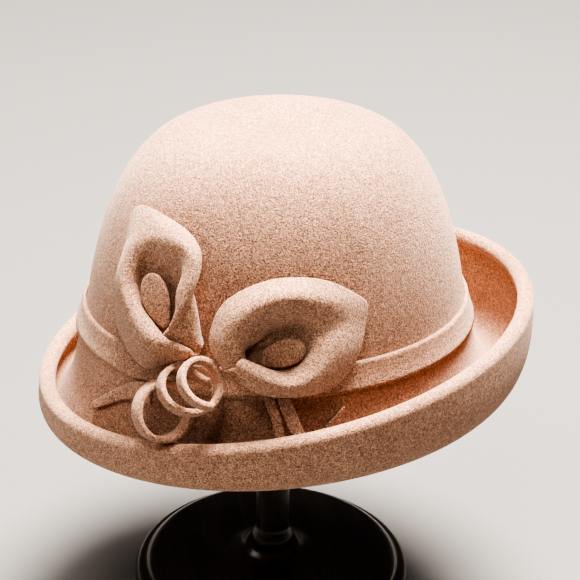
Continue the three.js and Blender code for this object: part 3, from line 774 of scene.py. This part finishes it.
ON_PETAL = CLEAR + PETAL_THICK
LEFT_TONGUE = [(-0.25, 0.15, 0.07), (-0.335, 0.28, 0.075), (-0.415, 0.43, 0.07)]
RIGHT_TONGUE = [(0.31, 0.00, 0.05), (0.44, 0.05, 0.06), (0.575, 0.10, 0.08)]
TAIL = [(-0.33, -0.30, 0.03), (-0.43, -0.32, 0.015), (-0.57, -0.385, 0.008), (-0.83, -0.575, 0.005)]
END_A = [(0.38, -0.24, 0.003), (0.42, -0.36, 0.06), (0.44, -0.48, 0.13)]
END_B = [(0.46, -0.23, 0.003), (0.50, -0.35, 0.06), (0.54, -0.47, 0.13)]
TIP = [(0.72, -0.50, 0.005), (0.77, -0.43, 0.008), (0.82, -0.34, 0.012)]

UPPER_CURL = {
    "root": (0.04, -0.18, 0.0),
    "start": (-0.125, -0.17, 0.23),
    "stop": (0.095, -0.028, 0.295),
    "axis": (0.50, 0.66, 0.56),
    "turns": 1.60,
    "first_turn": 40,
    "radius": 12.0,
}
LOWER_CURL = {
    "root": (-0.105, -0.255, 0.0),
    "start": (-0.225, -0.31, 0.25),
    "stop": (-0.205, -0.29, 0.255),
    "axis": (0.70, 0.34, 0.62),
    "turns": 0.80,
    "first_turn": 60,
    "radius": 14.0,
}

# Each lying piece: its name, places, width, thickness, what it lies over, and the node it replaces
LYING = [
    ("felt_tongue_left", LEFT_TONGUE, tongue_width(15), TONGUE_THICK, ON_PETAL, "tongue_left"),
    ("felt_tongue_right", RIGHT_TONGUE, tongue_width(14), TONGUE_THICK, ON_PETAL, "tongue_right"),
    ("felt_tail", TAIL, pointed_end(11, 0.35), STRIP_THICK, 0.0, "tail_strip"),
    ("felt_end_a", END_A, even_width(5), STRIP_THICK, 0.0, "strip_end_a"),
    ("felt_end_b", END_B, even_width(6.4), STRIP_THICK, 0.0, "strip_end_b"),
    ("felt_tip", TIP, pointed_end(8), STRIP_THICK, 0.0, "strip_tip"),
]
for label, places, width, thick, ground, node in LYING:
    finish_piece(lying_strip(label, places, width, thick, ground), "felt", node)
finish_piece(curl("felt_curl_upper", **UPPER_CURL), "felt", "curl_upper")
finish_piece(curl("felt_curl_lower", **LOWER_CURL), "felt", "curl_lower")
finish_piece(stand_base(), "dark_wood", "stand_base")
finish_piece(stand_post(), "dark_wood", "stand_post")
finish_piece(stand_cap(), "dark_wood", "stand_cap")


# Studio: a pale floor, one soft light overhead, a weak even room light and two weak fills

FLOOR_COLOUR = (0.20, 0.197, 0.193, 1)
FLOOR_REACH = 60000.0
OVERHEAD = (-0.30, 0.27, 1.70)
WARM_WHITE = (1.0, 0.92, 0.84)
SKY_COLOUR = (1.0, 0.92, 0.86, 1)
SKY_STRENGTH = 0.08


def floor():
    material, _, shader, _ = new_material("pale_floor")
    shader.inputs["Base Color"].default_value = FLOOR_COLOUR
    shader.inputs["Roughness"].default_value = 0.8
    square = [(-1.0, -1.0, 0.0), (1.0, -1.0, 0.0), (1.0, 1.0, 0.0), (-1.0, 1.0, 0.0)]
    corners = FLOOR_REACH * np.array(square)
    piece = mesh_object("studio_floor", corners, [np.array([[0, 1, 2, 3]])], material, smooth=False)


def area_light(name, place, target, size, power, colour):
    light = bpy.data.lights.new(name, "AREA")
    light.shape = "DISK"
    light.size = size
    light.energy = power
    light.color = colour
    hang_lamp(name, light, place, target)


def sun_light(name, place, target, spread, strength, colour):
    """An even light from one side: spread is how wide its soft disc looks, in degrees."""
    light = bpy.data.lights.new(name, "SUN")
    light.angle = math.radians(spread)
    light.energy = strength
    light.color = colour
    hang_lamp(name, light, place, target)


def hang_lamp(name, light, place, target):
    """A lamp at its place. It shines along its own -Z, so its +Z runs away from the target."""
    lamp = bpy.data.objects.new(name, light)
    back = unit(np.array(place, float) - np.array(target, float))
    side = unit(np.cross([0.0, 1.0, 0.01], back))
    turn = np.eye(4)
    turn[:3, 0], turn[:3, 1], turn[:3, 2], turn[:3, 3] = side, np.cross(back, side), back, place
    lamp.matrix_world = Matrix(turn.tolist())
    bpy.context.collection.objects.link(lamp)


def world():
    surroundings = bpy.data.worlds.new("studio")
    surroundings.use_nodes = True
    sky = surroundings.node_tree.nodes["Background"]
    sky.inputs["Color"].default_value = SKY_COLOUR
    sky.inputs["Strength"].default_value = SKY_STRENGTH
    bpy.context.scene.world = surroundings


# Camera, at the photo's angle. Pixels are of the 580 by 580 frame.

PHOTO_SIDE = 580
VIEW_AZIMUTH = math.radians(78.5)
VIEW_ELEVATION = math.radians(28.3)
VIEW_ROLL = math.radians(1.0)
VIEW_DISTANCE = 1.0
VIEW_CENTRE = (276.2, 313.1)
FOCAL_PIXELS = 1920
SENSOR = 36


def camera():
    lens = bpy.data.cameras.new("photo_camera")
    lens.sensor_width = SENSOR
    lens.lens = FOCAL_PIXELS * SENSOR / PHOTO_SIDE
    lens.shift_x = (PHOTO_SIDE / 2 - VIEW_CENTRE[0]) / PHOTO_SIDE
    lens.shift_y = (VIEW_CENTRE[1] - PHOTO_SIDE / 2) / PHOTO_SIDE
    lens.clip_end = 50
    back = np.array([
        math.sin(VIEW_AZIMUTH) * math.cos(VIEW_ELEVATION),
        -math.cos(VIEW_AZIMUTH) * math.cos(VIEW_ELEVATION),
        math.sin(VIEW_ELEVATION),
    ])
    level = np.array([math.cos(VIEW_AZIMUTH), math.sin(VIEW_AZIMUTH), 0])
    upright = np.cross(back, level)
    right = math.cos(VIEW_ROLL) * level + math.sin(VIEW_ROLL) * upright
    up = math.cos(VIEW_ROLL) * upright - math.sin(VIEW_ROLL) * level
    place = np.array([0, 0, BAND_LINE * MM]) + VIEW_DISTANCE * back
    matrix = np.eye(4)
    matrix[:3, 0], matrix[:3, 1], matrix[:3, 2], matrix[:3, 3] = right, up, back, place
    viewer = bpy.data.objects.new("photo_camera", lens)
    viewer.matrix_world = Matrix(matrix.tolist())
    bpy.context.collection.objects.link(viewer)
    bpy.context.scene.camera = viewer


bpy.context.scene.view_settings.view_transform = "AgX"
bpy.context.scene.view_settings.look = "AgX - Very High Contrast"
floor()
area_light("overhead", OVERHEAD, (0, 0, 0.22), 0.8, 112, WARM_WHITE)
sun_light("room_light", OVERHEAD, (0, 0, 0.22), 40, 2.6, (1.0, 0.94, 0.88))
area_light("left_fill", (0.1, -1.4, 1.05), (0, 0, 0.2), 0.8, 6.5, WARM_WHITE)
area_light("front_fill", (0.85, -0.35, 1.60), (0, 0, 0.17), 0.5, 7, WARM_WHITE)
world()
camera()
